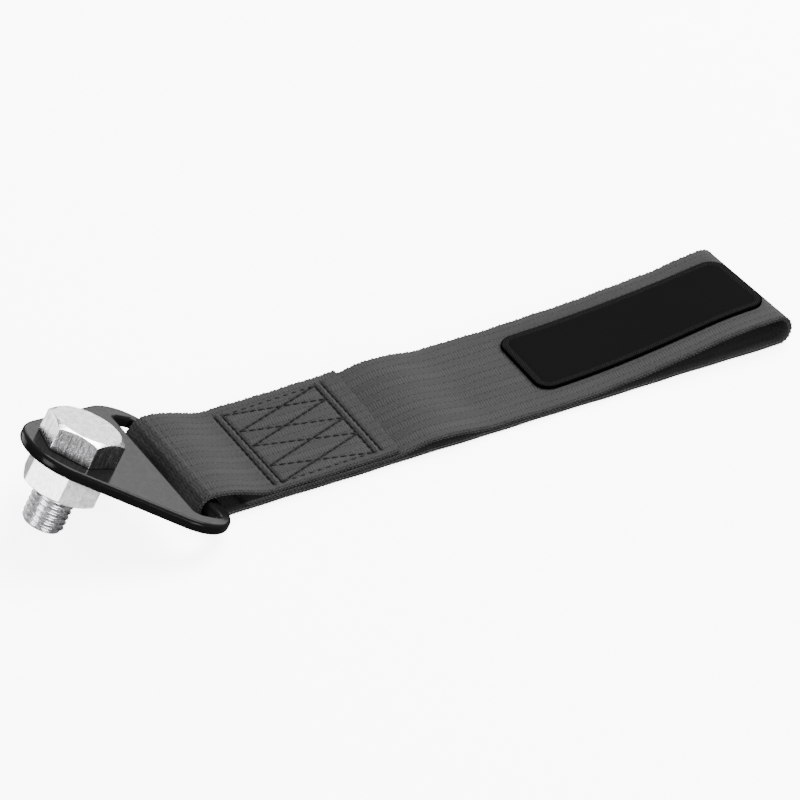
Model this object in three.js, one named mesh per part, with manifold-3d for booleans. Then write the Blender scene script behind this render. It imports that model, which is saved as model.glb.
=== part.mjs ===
// A tow strap: a flat loop of webbing sewn to itself around the bar of a slotted steel plate,
// with a hex bolt and nut through the plate's nose.
// The origin is on the floor under the middle of the sewn block. X runs along the strap towards
// its far loop, Y across it, Z up. The plate leans nose up, with the tip of the bolt on the floor.

import * as THREE from 'three';
import { mergeVertices } from 'three/addons/utils/BufferGeometryUtils.js';
import Module from 'manifold-3d';

// Driving dimensions, in millimetres and degrees

// Clearances
const LAYER_GAP = 0.3; // between layers of webbing that lie on each other
const SEAT_GAP = 0.3; // between a piece and what it seats on
const PASS_GAP = 0.3; // around a shaft in a nut

// Webbing
const WEB_WIDTH = 50;
const WEB_THICK = 1.5;
const BLOCK_LENGTH = 40; // sewn block, along X, about the origin
const BLOCK_TO_BAR = 42.8; // from the middle of the block to the plate's bar
const FLAP_LENGTH = 6.8; // free end of the top layer, beyond the block
const EYE_FOOT_EASE = 0.35; // share of the fall from the bar to the block that lands level
const EYE_TOP_EASE = 0.45; // share of it that leaves the bar level
const TAIL_LENGTH = 11; // free end of the middle layer, beyond the block on the eye's side
const HUMP_HEIGHT = 2.3; // rise of the upper layer behind the block
const HUMP_RISE = 21; // length of the hump's two sides
const HUMP_FALL = 21;
const HUMP_EASE = 0.4; // share of each side that starts and ends level
const BLOCK_TO_LOOP = 166.6; // from the middle of the block to the centre of the far bend
const LOOP_RADIUS = 4.2; // far bend, to the middle of the webbing
const LOOP_TAPER = 86; // over this length the upper layer comes down from the bend
const TAPER_TOP_EASE = 0.2; // share of the taper that leaves the bend level
const TAPER_FOOT_EASE = 0.5; // share of the taper that lands level
const TAPER_TWIST = 0.28; // share by which the near edge stands higher before the bend
const BEND_TWIST = 0.14; // the same at the bend
const TWIST_RISE = 57; // length of the taper over which the twist comes in
const TWIST_SETTLE = 21; // length before the bend over which it settles
const LOOP_SKEW = 1.2; // how much further the near edge of the loop reaches

// Label patch
const LABEL_LENGTH = 85;
const LABEL_WIDTH = 32.6;
const LABEL_THICK = 1.1;
const LABEL_CORNER = 5.5;
const LABEL_WRAP = 1; // length that lies on the far bend
const LABEL_SHIFT = 0.1; // off the middle of the webbing

// Tow plate, measured from the bolt's hole
const PLATE_THICK = 4;
const PLATE_WIDTH = 75.4;
const NOSE_RADIUS = 19;
const CORNER_RADIUS = 15;
const HOLE_RADIUS = 8.1;
const HOLE_TO_SLOT = 31.3;
const SLOT_WIDTH = 9.6;
const SLOT_WALL = 7.1; // plate left beside each end of the slot
const SLOT_ROOM = 1.5; // from the webbing's far edge to the slot's far end
const SLOT_CORNER = 2.4;
const BAR_WIDTH = 6.6;
const PLATE_EDGE = 1.4; // rounding of the plate's edges
const MOST_ROUNDING = 0.45; // the most of the plate's thickness that an edge takes

// Bolt and nut
const SHANK_RADIUS = 7.3;
const SHANK_LENGTH = 28.6; // from the plate's top face to the tip
const TIP_CHAMFER = 1.2;
const ACROSS_FLATS = 24.3;
const HEAD_HEIGHT = 8.7;
const NUT_HEIGHT = 11;
const NUT_MOUTH = 0.7; // widening of the nut's bore at its two ends
const CHAMFER_ANGLE = 30;
const FACE_SHARE = 0.97; // round end face of a hex, as a share of its flats
const HEAD_TURN = 17;
const NUT_TURN = 0;
const BOLT_SLACK = 0.45; // how far off the hole's middle the bolt is clamped

// Places that follow from the dimensions
const LAYER_RISE = WEB_THICK + LAYER_GAP;
const BOTTOM_Z = WEB_THICK / 2;
const MIDDLE_Z = BOTTOM_Z + LAYER_RISE;
const TOP_Z = MIDDLE_Z + LAYER_RISE;
const BLOCK_END = BLOCK_LENGTH / 2;
const HALF_WIDTH = WEB_WIDTH / 2;
const EDGE_RADIUS = Math.min(PLATE_EDGE, MOST_ROUNDING * PLATE_THICK);
const BAR_REACH = EDGE_RADIUS + Math.hypot(BAR_WIDTH / 2 - EDGE_RADIUS, PLATE_THICK / 2 - EDGE_RADIUS);
const EYE_RADIUS = BAR_REACH + LAYER_GAP + WEB_THICK / 2;
const AXIS_Z = BOTTOM_Z + EYE_RADIUS;
const SLOT_LENGTH = PLATE_WIDTH - 2 * SLOT_WALL;
const PLATE_SHIFT = HALF_WIDTH + SLOT_ROOM - SLOT_LENGTH / 2; // how far it has slid along its bar
const BOLT_TO_BAR = HOLE_TO_SLOT + SLOT_WIDTH + BAR_WIDTH / 2;
const PLATE_BACK = BOLT_TO_BAR + BAR_WIDTH / 2;

// Smoothness of curves
const CURVE_STEPS = 14;
const ROUND_SIDES = 48;
const BEVEL_STEPS = 3;

// Working allowances
const CUT_OVER = 1; // how far a cutting shape reaches past what it cuts
const MERGE_WITHIN = 1e-4; // corners closer than this are one

const rad = THREE.MathUtils.degToRad;

// The middle line of the webbing in the XZ plane, from the free end on top of the block, round
// the bar, along the floor, round the far bend and back into the block. It also gives the length
// along the line at the top of the far bend.
function webbingRoute() {
  const crestX = BLOCK_END + HUMP_RISE;
  const crestZ = MIDDLE_Z + HUMP_HEIGHT;
  const flatX = crestX + HUMP_FALL;
  const loopTopZ = BOTTOM_Z + 2 * LOOP_RADIUS;
  const taperX = BLOCK_TO_LOOP - LOOP_TAPER;
  const rise = new THREE.CubicBezierCurve(
    new THREE.Vector2(BLOCK_END, MIDDLE_Z),
    new THREE.Vector2(BLOCK_END + HUMP_RISE * HUMP_EASE, MIDDLE_Z),
    new THREE.Vector2(crestX - HUMP_RISE * HUMP_EASE, crestZ),
    new THREE.Vector2(crestX, crestZ),
  );

  const route = new THREE.Path(flapPoints(rise));
  route.lineTo(BLOCK_END, TOP_Z);
  route.lineTo(-BLOCK_END, TOP_Z);
  const eyeSpan = BLOCK_TO_BAR - BLOCK_END;
  route.bezierCurveTo(
    -BLOCK_END - eyeSpan * EYE_FOOT_EASE, TOP_Z,
    -BLOCK_TO_BAR + eyeSpan * EYE_TOP_EASE, AXIS_Z + EYE_RADIUS,
    -BLOCK_TO_BAR, AXIS_Z + EYE_RADIUS,
  );
  route.absarc(-BLOCK_TO_BAR, AXIS_Z, EYE_RADIUS, Math.PI / 2, Math.PI * 1.5);
  route.lineTo(BLOCK_TO_LOOP, BOTTOM_Z);
  route.absarc(BLOCK_TO_LOOP, BOTTOM_Z + LOOP_RADIUS, LOOP_RADIUS, -Math.PI / 2, Math.PI / 2);
  const loopTop = route.getLength();
  route.bezierCurveTo(
    BLOCK_TO_LOOP - LOOP_TAPER * TAPER_TOP_EASE, loopTopZ,
    taperX + LOOP_TAPER * TAPER_FOOT_EASE, MIDDLE_Z,
    taperX, MIDDLE_Z,
  );
  route.lineTo(flatX, MIDDLE_Z);
  route.bezierCurveTo(
    flatX - HUMP_FALL * HUMP_EASE, MIDDLE_Z,
    crestX + HUMP_FALL * HUMP_EASE, crestZ,
    crestX, crestZ,
  );
  route.bezierCurveTo(rise.v2.x, rise.v2.y, rise.v1.x, rise.v1.y, rise.v0.x, rise.v0.y);
  route.lineTo(-BLOCK_END - TAIL_LENGTH, MIDDLE_Z);
  return { route, loopTop };
}

// The free end of the top layer lies one layer above the start of the hump.
function flapPoints(rise) {
  const points = [];
  const share = FLAP_LENGTH / rise.getLength();
  for (let i = CURVE_STEPS; i > 0; i -= 2) {
    const u = share * i / CURVE_STEPS;
    const point = rise.getPointAt(u);
    const along = rise.getTangentAt(u);
    points.push(new THREE.Vector2(point.x - along.y * LAYER_RISE, point.y + along.x * LAYER_RISE));
  }
  return points;
}

// How strongly a place takes part in the twist of the far loop: 0 at the block, 1 before the bend.
function loopShare(x) {
  const taperX = BLOCK_TO_LOOP - LOOP_TAPER;
  return THREE.MathUtils.smoothstep(x, taperX, taperX + TWIST_RISE);
}

// The share by which the upper layer stands higher at its near edge, and lower at its far edge.
function twistAt(x) {
  const settled = THREE.MathUtils.smoothstep(x, BLOCK_TO_LOOP - TWIST_SETTLE, BLOCK_TO_LOOP);
  return THREE.MathUtils.lerp(TAPER_TWIST, BEND_TWIST, settled);
}

// A point of the middle line, moved to where the webbing runs at a given distance across it.
function twisted(point, across) {
  const share = loopShare(point.x) * across / HALF_WIDTH;
  const height = Math.max(0, point.y - BOTTOM_Z);
  return new THREE.Vector2(point.x - LOOP_SKEW * share, point.y - twistAt(point.x) * share * height);
}

// One corner of a strip's section: a point of the line, lifted off it along its right-hand side.
function lifted(point, along, across, lift) {
  const length = Math.hypot(along.x, along.y);
  const x = point.x + along.y / length * lift;
  const z = point.y - along.x / length * lift;
  return new THREE.Vector3(x, across, z);
}

// A closed strip. Each station holds the line's two edge points, its directions there and the
// distances across, and the strip lies between two lifts off that line.
function strip(stations, low, high) {
  const positions = [];
  for (const { near, far, nearAlong, farAlong, nearY, farY } of stations) {
    const ring = [
      lifted(near, nearAlong, nearY, low),
      lifted(far, farAlong, farY, low),
      lifted(far, farAlong, farY, high),
      lifted(near, nearAlong, nearY, high),
    ];
    for (const corner of ring) {
      positions.push(corner.x, corner.y, corner.z);
    }
  }
  const last = 4 * (stations.length - 1);
  const index = [0, 1, 2, 0, 2, 3, last, last + 2, last + 1, last, last + 3, last + 2];
  for (let start = 0; start < last; start += 4) {
    for (let side = 0; side < 4; side += 1) {
      const a = start + side;
      const b = start + (side + 1) % 4;
      index.push(a, b + 4, b, a, a + 4, b + 4);
    }
  }
  const geometry = new THREE.BufferGeometry();
  geometry.setAttribute('position', new THREE.Float32BufferAttribute(positions, 3));
  geometry.setIndex(index);
  geometry.computeVertexNormals();
  return geometry;
}

// The direction of a row of points at one of them.
function directionAt(points, i) {
  const before = points[Math.max(0, i - 1)];
  const after = points[Math.min(points.length - 1, i + 1)];
  return new THREE.Vector2().subVectors(after, before).normalize();
}

function webbingGeometry(route) {
  const middle = route.getPoints(CURVE_STEPS);
  const near = middle.map((point) => twisted(point, -HALF_WIDTH));
  const far = middle.map((point) => twisted(point, HALF_WIDTH));
  const stations = middle.map((point, i) => ({
    near: near[i],
    far: far[i],
    nearAlong: directionAt(near, i),
    farAlong: directionAt(far, i),
    nearY: -HALF_WIDTH,
    farY: HALF_WIDTH,
  }));
  return strip(stations, -WEB_THICK / 2, WEB_THICK / 2);
}

// Places along the label, close together in its rounded corners, each with half the width there.
function labelRows() {
  const rows = [];
  const corner = Math.min(LABEL_CORNER, LABEL_WIDTH / 2, LABEL_LENGTH / 2);
  const cornerSteps = CURVE_STEPS / 2;
  for (let i = 0; i <= cornerSteps; i += 1) {
    const angle = Math.PI / 2 * i / cornerSteps;
    rows.push({
      s: corner * (1 - Math.cos(angle)),
      half: LABEL_WIDTH / 2 - corner * (1 - Math.sin(angle)),
    });
  }
  const mirrored = rows.map(({ s, half }) => ({ s: LABEL_LENGTH - s, half })).reverse();
  const plain = LABEL_LENGTH - 2 * corner;
  const plainSteps = 2 * CURVE_STEPS;
  for (let i = 1; i < plainSteps; i += 1) {
    rows.push({ s: corner + plain * i / plainSteps, half: LABEL_WIDTH / 2 });
  }
  return rows.concat(mirrored);
}

function labelGeometry(route, loopTop) {
  const total = route.getLength();
  const start = loopTop - LABEL_WRAP;
  const probe = LAYER_GAP / 4;
  const edge = (s, across) => twisted(route.getPoint((start + s) / total), across);
  const stations = labelRows().map(({ s, half }) => {
    const nearY = LABEL_SHIFT - half;
    const farY = LABEL_SHIFT + half;
    const nearAlong = edge(s + probe, nearY).sub(edge(s - probe, nearY)).normalize();
    const farAlong = edge(s + probe, farY).sub(edge(s - probe, farY)).normalize();
    return { near: edge(s, nearY), far: edge(s, farY), nearAlong, farAlong, nearY, farY };
  });
  const low = WEB_THICK / 2 + SEAT_GAP;
  return strip(stations, low, low + LABEL_THICK);
}

// The plate's outline: an arc round the bolt, straight flanks and two rounded back corners,
// with the bolt's hole and the slot. The bolt's axis is at the outline's origin.
function plateShape() {
  const cornerX = PLATE_BACK - CORNER_RADIUS;
  const cornerY = PLATE_WIDTH / 2 - CORNER_RADIUS;
  const spread = Math.atan2(cornerY, cornerX);
  const closing = Math.asin((NOSE_RADIUS - CORNER_RADIUS) / Math.hypot(cornerX, cornerY));
  const flank = Math.PI / 2 + spread - closing;
  const shape = new THREE.Shape();
  shape.absarc(0, 0, NOSE_RADIUS, flank, 2 * Math.PI - flank);
  shape.absarc(cornerX, -cornerY, CORNER_RADIUS, -flank, 0);
  shape.absarc(cornerX, cornerY, CORNER_RADIUS, 0, flank);
  shape.holes.push(new THREE.Path().absarc(0, 0, HOLE_RADIUS, 0, 2 * Math.PI, true), slotPath());
  return shape;
}

function slotPath() {
  const corner = Math.min(SLOT_CORNER, SLOT_WIDTH / 2);
  const left = HOLE_TO_SLOT + corner;
  const right = HOLE_TO_SLOT + SLOT_WIDTH - corner;
  const side = SLOT_LENGTH / 2 - corner;
  const slot = new THREE.Path();
  slot.absarc(left, side, corner, Math.PI, Math.PI / 2, true);
  slot.absarc(right, side, corner, Math.PI / 2, 0, true);
  slot.absarc(right, -side, corner, 0, -Math.PI / 2, true);
  slot.absarc(left, -side, corner, -Math.PI / 2, -Math.PI, true);
  return slot;
}

function plateGeometry() {
  const geometry = new THREE.ExtrudeGeometry(plateShape(), {
    depth: PLATE_THICK - 2 * EDGE_RADIUS,
    bevelThickness: EDGE_RADIUS,
    bevelSize: EDGE_RADIUS,
    bevelOffset: -EDGE_RADIUS,
    bevelSegments: BEVEL_STEPS,
    curveSegments: CURVE_STEPS,
  });
  return geometry.translate(-BOLT_TO_BAR, 0, EDGE_RADIUS - PLATE_THICK / 2);
}

// Boolean work on closed meshes
const wasm = await Module();
wasm.setup();

function solid(geometry) {
  geometry.deleteAttribute('normal');
  geometry.deleteAttribute('uv');
  const merged = mergeVertices(geometry, MERGE_WITHIN);
  return new wasm.Manifold(new wasm.Mesh({
    numProp: 3,
    vertProperties: new Float32Array(merged.attributes.position.array),
    triVerts: new Uint32Array(merged.index.array),
  }));
}

function geometryOf(manifold) {
  const mesh = manifold.getMesh();
  const geometry = new THREE.BufferGeometry();
  geometry.setAttribute('position', new THREE.BufferAttribute(mesh.vertProperties, 3));
  geometry.setIndex(new THREE.BufferAttribute(mesh.triVerts, 1));
  geometry.computeVertexNormals();
  return geometry;
}

// A solid of revolution about Z from pairs of radius and height, from the axis to the axis.
function turned(pairs) {
  const profile = pairs.map(([radius, height]) => new THREE.Vector2(radius, height));
  return solid(new THREE.LatheGeometry(profile, ROUND_SIDES).rotateX(Math.PI / 2));
}

// A hexagonal block whose corners are turned down at one or both ends.
function hexBlock(bottom, top, bothEnds, turn) {
  const corner = ACROSS_FLATS / Math.sqrt(3);
  const prism = new THREE.CylinderGeometry(corner, corner, top - bottom, 6, 1, false, rad(90 + turn));
  prism.rotateX(Math.PI / 2).translate(0, 0, (top + bottom) / 2);
  const face = ACROSS_FLATS / 2 * FACE_SHARE;
  const outer = corner + CUT_OVER;
  const drop = (outer - face) * Math.tan(rad(CHAMFER_ANGLE));
  const pairs = bothEnds
    ? [[0, bottom], [face, bottom], [outer, bottom + drop]]
    : [[0, bottom], [outer, bottom]];
  pairs.push([outer, top - drop], [face, top], [0, top]);
  return solid(prism).intersect(turned(pairs));
}

function boltGeometry() {
  const head = hexBlock(SEAT_GAP, SEAT_GAP + HEAD_HEIGHT, false, HEAD_TURN);
  const shank = turned([
    [0, -SHANK_LENGTH],
    [SHANK_RADIUS - TIP_CHAMFER, -SHANK_LENGTH],
    [SHANK_RADIUS, TIP_CHAMFER - SHANK_LENGTH],
    [SHANK_RADIUS, SEAT_GAP + HEAD_HEIGHT / 2],
    [0, SEAT_GAP + HEAD_HEIGHT / 2],
  ]);
  return geometryOf(head.add(shank));
}

function nutGeometry() {
  const top = -PLATE_THICK - SEAT_GAP;
  const bottom = top - NUT_HEIGHT;
  const bore = SHANK_RADIUS + PASS_GAP;
  const hollow = turned([
    [0, bottom - CUT_OVER],
    [bore + NUT_MOUTH + CUT_OVER, bottom - CUT_OVER],
    [bore, bottom + NUT_MOUTH],
    [bore, top - NUT_MOUTH],
    [bore + NUT_MOUTH + CUT_OVER, top + CUT_OVER],
    [0, top + CUT_OVER],
  ]);
  return geometryOf(hexBlock(bottom, top, true, NUT_TURN).subtract(hollow));
}

// The lean of the plate at which the bolt's tip just meets the floor.
function restingLean() {
  const reach = BOLT_TO_BAR - (SHANK_RADIUS - TIP_CHAMFER);
  const depth = SHANK_LENGTH - PLATE_THICK / 2;
  return Math.acos(AXIS_Z / Math.hypot(reach, depth)) - Math.atan2(reach, depth);
}

function piece(name, geometry, color, roughness, metalness) {
  const material = new THREE.MeshStandardMaterial({ color, roughness, metalness });
  const mesh = new THREE.Mesh(geometry, material);
  mesh.name = name;
  return mesh;
}

function strapGroup() {
  const { route, loopTop } = webbingRoute();
  const group = new THREE.Group();
  group.add(piece('webbing_strap', webbingGeometry(route), 0x55565a, 0.85, 0));
  group.add(piece('label_patch', labelGeometry(route, loopTop), 0x1c1c1d, 0.6, 0));
  return group;
}

// The plate's group turns about the middle of the bar that the webbing goes round.
function plateGroup() {
  const group = new THREE.Group();
  group.position.set(-BLOCK_TO_BAR, PLATE_SHIFT, AXIS_Z);
  group.rotation.y = restingLean();
  group.add(piece('tow_plate', plateGeometry(), 0x121213, 0.2, 0.4));
  const fastening = new THREE.Group();
  fastening.position.set(-BOLT_TO_BAR, BOLT_SLACK, PLATE_THICK / 2);
  fastening.add(piece('hex_bolt', boltGeometry(), 0xc4c6c8, 0.35, 1));
  fastening.add(piece('hex_nut', nutGeometry(), 0xc9cbcd, 0.35, 1));
  group.add(fastening);
  return group;
}

const towStrap = new THREE.Group();
towStrap.add(strapGroup(), plateGroup());

export default towStrap;
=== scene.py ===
"""A tow strap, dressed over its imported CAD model: webbing, stitching, label, plate, bolt and nut."""

import math

import bpy
import bmesh
import numpy as np
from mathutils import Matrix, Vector
from mathutils.geometry import tessellate_polygon


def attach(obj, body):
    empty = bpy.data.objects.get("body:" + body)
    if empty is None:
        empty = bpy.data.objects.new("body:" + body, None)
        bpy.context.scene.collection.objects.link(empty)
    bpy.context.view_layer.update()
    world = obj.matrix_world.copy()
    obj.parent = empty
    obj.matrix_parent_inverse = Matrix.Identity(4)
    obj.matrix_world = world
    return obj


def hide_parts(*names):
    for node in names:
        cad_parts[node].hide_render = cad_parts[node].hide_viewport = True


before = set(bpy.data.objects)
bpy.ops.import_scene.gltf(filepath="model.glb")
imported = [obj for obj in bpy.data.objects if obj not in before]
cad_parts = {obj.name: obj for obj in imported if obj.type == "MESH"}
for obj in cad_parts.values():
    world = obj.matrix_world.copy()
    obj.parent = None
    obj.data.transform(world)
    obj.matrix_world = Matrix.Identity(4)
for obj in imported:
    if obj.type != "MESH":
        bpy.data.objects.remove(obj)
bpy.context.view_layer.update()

MM = 0.001
DEG = math.pi / 180

# Camera: direction, distance and aim in metres, scale, picture in pixels, sensor in millimetres
AZIMUTH = -28.013 * DEG
ELEVATION = 35.428 * DEG
DISTANCE = 3.0
PIXELS_PER_MM = 3.042
TARGET = Vector((0.042063, 0.006351, 0.0))
IMAGE_SIZE = 800
SENSOR = 36.0
CLIP_START = 0.05
CLIP_END = 50.0

# Studio, in metres: strength of the world below and above its horizon, floor, and lights.
# Each light has a name, a place, the point it looks at, a size and a power in watts.
HORIZON_HALF = 0.10
WORLD_LOW = 0.22
WORLD_HIGH = 0.6
FLOOR_HALF = 6.0
FLOOR_DROP = 0.0003
FLOOR_GLOW = 6.0
LIGHTS = (
    ("key", (0.80, 0.25, 1.20), (0.02, 0, 0), (1.1, 1.1), 88),
    ("back", (0.98, 1.05, 0.30), (0, 0, 0.02), (1.5, 0.62), 8.5),
    ("left", (-1.54, -0.28, 0.34), (-0.08, 0, 0.02), (0.6, 0.5), 20),
    ("far_left", (-0.60, 1.36, -0.05), (-0.08, 0, 0.03), (0.8, 0.7), 7),
    ("front", (0.15, -1.5, 0.42), (0, 0, 0), (0.9, 0.5), 42),
)

# Webbing route, in millimetres, as in the CAD model
WEB_HALF = 25.0
THICK_HALF = 0.75
INNER_HALF = 0.86
LAYER_RISE = 1.8
BOTTOM_Z = 0.75
MIDDLE_Z = BOTTOM_Z + LAYER_RISE
TOP_Z = MIDDLE_Z + LAYER_RISE
BLOCK_END = 20.0
BAR_X = 42.8
FLAP_LENGTH = 6.8
TAIL_LENGTH = 11.0
HUMP_HEIGHT = 2.3
HUMP_SIDE = 21.0
HUMP_EASE = 0.4
EYE_FOOT_EASE = 0.35
EYE_TOP_EASE = 0.45
LOOP_X = 166.6
LOOP_RADIUS = 4.2
LOOP_TAPER = 86.0
TAPER_TOP_EASE = 0.2
TAPER_FOOT_EASE = 0.5
TAPER_TWIST = 0.28
BEND_TWIST = 0.14
TWIST_RISE = 57.0
TWIST_SETTLE = 21.0
LOOP_SKEW = 1.2
EYE_RADIUS = 4.4425
AXIS_Z = BOTTOM_Z + EYE_RADIUS
ROUTE_STEPS = 200
SAME_POINT = 1e-6
SEWN_MARGIN = 2.0
FOLD_SLACK = 1.5

# Lengths along the route: the end of the sewn block, the turn round the bar, where the fold starts
SEWN_END = FLAP_LENGTH + 2 * BLOCK_END + SEWN_MARGIN
EYE_RUN = 42.0
FOLD_AT = FLAP_LENGTH + BLOCK_END + BAR_X + FOLD_SLACK

# Webbing's surface, in millimetres: fuller fold, wandering edges (size, length and start of each
# wave), creases at the fold, rounded edges (reach and lift of each row), ends (with painted shade
# at the flap's free end) and the flap's skew
PROBE = 0.25
BULGE_NEAR = 0.8
BULGE_FAR = 1.3
BULGE_WIDTH = 24.0
BULGE_AT = 8.3
BULGE_SPREAD = 4.5
FAR_WAVES = ((0.12, 2.1, 0.6), (0.14, 5.3, 0.0), (0.12, 0.51, 2.0))
NEAR_WAVES = ((0.08, 2.9, 1.1), (0.12, 7.9, 0.4))
CREASE_HEIGHT = 0.15
CREASE_PITCH = 2.5
CREASE_AT = 1.5
CREASE_SPREAD = 4.5
CREASE_FADE = 0.25
CREASE_FADE_LENGTH = 7.0
EDGE_INSET = 0.55
EDGE_ROWS = ((0.4, 0.45), (0.55, 0.0), (0.4, -0.5))
OUTER_ROWS = 67
INNER_ROWS = 25
SEWN_STATIONS = 110
EYE_STATIONS = 72
OTHER_STATIONS = 440
END_SPREAD = 0.5
END_THINNING = 0.35
# Painted shade: the webbing's colour darkens at the flap's free end.
END_SHADE = 0.22
END_SHADE_SPREAD = 0.8
FLAP_SKEW = 0.9
FLAP_SKEW_LENGTH = 8.0

# Bound edges, in millimetres: slanted yarn turns in two rows, each turn a slim ball
BALL_ACROSS = 6
BALL_AROUND = 7
YARN_PITCH = 1.3
YARN_STAGGER = 0.25
YARN_INSET = 0.42
YARN_LIFT = 0.35
YARN_AHEAD = 0.3
YARN_SLANT = 0.62
YARN_LOWEST = 0.56
YARN_HALF_LENGTH = 0.78
YARN_HALF_WIDTH_NEAR = 0.43
YARN_HALF_WIDTH_FAR = 0.34
YARN_HALF_HEIGHT = 0.40

# Stitching on top of the sewn block, in millimetres. Each row runs from its far end to its near
# end, and the zigzag's corners are listed from far to near, all as X and Y.
STITCH_PITCH = 3.0
LEFT_OUTER = ((-19.3, 20.2), (-19.2, -22.4))
LEFT_INNER = ((-16.8, 19.8), (-16.4, -22.3))
RIGHT_INNER = ((17.9, 20.6), (17.7, -21.9))
RIGHT_OUTER = ((20.4, 20.9), (20.4, -21.7))
LEFT_CORNERS = ((-16.6, 19.5), (-15.9, 8.9), (-15.7, -0.2), (-15.9, -12.5), (-16.5, -22.4))
RIGHT_CORNERS = ((17.8, 20.5), (17.8, 12.1), (18.0, 0.0), (18.1, -9.7), (17.7, -21.8))
STITCH_HALF_WIDTH = 0.43
STITCH_HALF_HEIGHT = 0.30
STITCH_SINK = 0.16
STITCH_EASE = 0.06

# Each kind of sewn line: the share of its pitch that is thread, and the share of the full dent
DOUBLE_ROW = (0.92, 1.0)
ZIG = (0.94, 0.7)
ZAG = (0.80, 0.5)
CROSS_ROW = (0.6, 0.25)
DENT_DEPTH = 0.42
DENT_SPREAD = 0.85
DENT_WAVE = 0.25
PUFF_LOW = 0.02
PUFF_HIGH = 0.40
PUFF_SPREAD = 0.7

# Label, in millimetres: outline, rounded rim, raised border and the gutter inside it
LABEL_LENGTH = 85.0
LABEL_WIDTH = 32.6
LABEL_CORNER = 5.5
LABEL_WRAP = 1.0
LABEL_SHIFT = 0.1
LABEL_THICK = 1.1
LABEL_SINK = 0.60
LABEL_UNDER = 0.08
RIM_HEIGHT = 0.42
RIM_WIDTH = 0.45
BORDER_HEIGHT = 0.16
BORDER_START = 0.2
BORDER_WIDTH = 2.3
BORDER_FULLNESS = 0.8
GUTTER_DEPTH = 0.14
GUTTER_AT = 2.75
GUTTER_SPREAD = 0.22
LABEL_EDGE_STEPS = (0.0, 0.12, 0.3, 0.55, 0.9, 1.3, 1.7, 2.05, 2.3, 2.55, 2.8, 3.2)
LABEL_ROWS = 118
LABEL_COLUMNS = 36

# Plate, in millimetres
PLATE_THICK = 4.0
PLATE_HALF = 37.7
NOSE_RADIUS = 19.0
CORNER_RADIUS = 15.0
HOLE_RADIUS = 8.1
HOLE_TO_SLOT = 31.3
SLOT_WIDTH = 9.6
SLOT_WALL = 7.1
SLOT_ROOM = 1.5
SLOT_LENGTH = 2 * PLATE_HALF - 2 * SLOT_WALL
SLOT_CORNER = 2.4
BAR_WIDTH = 6.6
PLATE_SHIFT = WEB_HALF + SLOT_ROOM - SLOT_LENGTH / 2
PLATE_EDGE = 1.4
PLATE_EDGE_STEPS = 8
PLATE_MARGIN = 0.25
NOSE_STEPS = 72
CORNER_STEPS = 48
HOLE_STEPS = 64
SLOT_STEPS = 12
BOLT_TO_BAR = HOLE_TO_SLOT + SLOT_WIDTH + BAR_WIDTH / 2
PLATE_BACK = BOLT_TO_BAR + BAR_WIDTH / 2

# Bolt and nut, in millimetres: hexagons, their turned-down corners, shank and thread
HEX_SIDES = 6
ACROSS_FLATS = 24.3
HEAD_HEIGHT = 8.7
NUT_HEIGHT = 11.0
SEAT_GAP = 0.3
SEAT_LIFT = SEAT_GAP * 0.4
HEAD_TURN = 17.0
NUT_TURN = 0.0
HEX_ROUNDING = 0.45
HEX_STEPS = (0.0, 0.25, 0.5, 0.8, 1.1, 1.5, 2.1, 3.0, 4.5, 7.0, 10.0, 14.0, 18.0, 22.0, 26.0)
FACE_SHARE = 0.965
CORNER_ANGLE = 30 * DEG
LEAST_DROP = 0.02
CAP_RADIUS = 1.0
PROFILE_ROUNDING = 0.16
PROFILE_STEPS = (1.9, 1.0, 0.45)
PROFILE_SAG = 0.16
BORE_MOUTH = 0.75
BORE_CLEARANCE = 0.12
BOLT_SLACK = 0.45
SHANK_RADIUS = 7.3
SHANK_LENGTH = 28.6
SHANK_IN_HEAD = 1.0
TIP_CHAMFER = 1.2
TIP_SLOPE = 0.9
THREAD_PITCH = 2.0
THREAD_DEPTH = 0.54 * THREAD_PITCH
THREAD_CREST = 0.10
THREAD_FLANK = 0.72
THREAD_SIDES = 64
THREAD_RINGS = 14

# The plate's lean, at which the bolt's tip meets the floor
TIP_REACH = BOLT_TO_BAR - (SHANK_RADIUS - TIP_CHAMFER)
TIP_DEPTH = SHANK_LENGTH - PLATE_THICK / 2
LEAN = math.acos(AXIS_Z / math.hypot(TIP_REACH, TIP_DEPTH)) - math.atan2(TIP_REACH, TIP_DEPTH)

# Materials: millimetres in one unit of what their nodes read, grey levels (dark and light), the
# weave's pitches in millimetres, the share of each form in its height, the label border's twist,
# and where the hexagons' draw marks begin and end, with the shades of pits and streaks
UNIT = 100.0
INSIDE_UNIT = 10.0
BLUE_TINT = 1.02
WEAVE_GREYS = (0.003, 0.028)
# The next grey is painted shade for the stitch dents, the crease valleys at the fold and the flap's free
# end.
GROOVE_SHADE_GREY = 0.002
# The light ends of the selvedge and thread greys are painted highlights on the crest of each yarn turn.
SELVEDGE_GREYS = (0.001, 0.066)
THREAD_GREYS = (0.0005, 0.003)
FACE_GREYS = (0.0030, 0.0040)
BORDER_GREYS = (0.0004, 0.0120)
# The next grey is painted shade on the label's rounded rim.
RIM_SHADE_GREY = 0.0006
PAINT_GREYS = (0.003, 0.008)
FLOOR_GREYS = (0.93, 0.95)
HERRINGBONE_WIDTH = 3.6
GAP_FROM_MIDDLE = 1.58
RIB_PITCH = 0.95
RIB_SLANT = 0.18
RIB_JITTER = 0.4
WARP_PITCH = 0.62
BAND_PITCH = 7.2
DOT_PITCH = 1.9
TWILL_SHARE = 0.27
WARP_SHARE = 0.12
FIBRE_SHARE = 0.95
DOT_SHARE = 0.28
ROPE_PITCH = 0.9
FLATS_FOOT = 0.3
FLATS_FADE = 1.6
FLATS_TOP = 0.7
PIT_SHADE = 0.55
STREAK_SHADE = 0.30
YARN_ROUGH = 0.8


# Making meshes

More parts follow.
